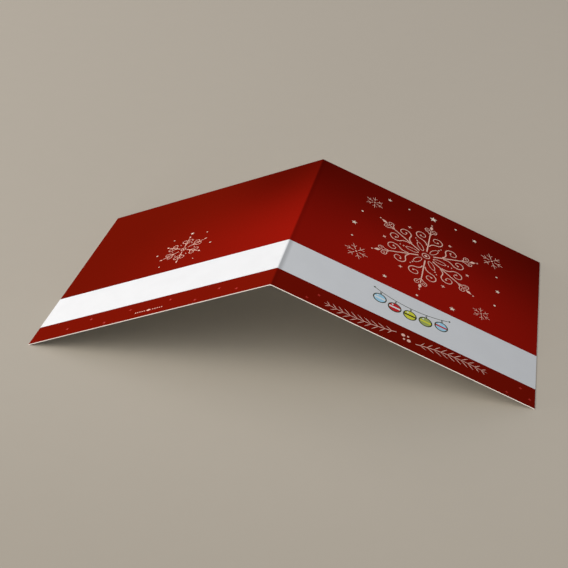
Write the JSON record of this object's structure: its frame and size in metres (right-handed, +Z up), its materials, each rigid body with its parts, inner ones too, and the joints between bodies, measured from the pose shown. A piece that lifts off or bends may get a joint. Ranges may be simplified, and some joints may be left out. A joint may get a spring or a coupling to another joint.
{
  "type": "greeting card",
  "caption": "Square folded greeting card that stands as a low tent on its free edges, printed red outside with a bare white band across both panels.",
  "frame": {"origin": "under the fold, halfway along it, in the plane that the free edges stand on", "axes": "+X from the fold towards the front panel's free edge, +Y along the fold to the card's top end, +Z up"},
  "size_m": [0.2734, 0.148, 0.0569],
  "materials": {
    "printed_card": "satin coated card stock, printed deep red outside, with a bare white band, white inside",
    "cream_print": "thin cream print on the red",
    "coloured_print": "small ornaments printed in red, yellow, light blue and olive on the white band"
  },
  "bodies": {
    "root": {"folded_card": "printed_card"}
  },
  "joints": []
}
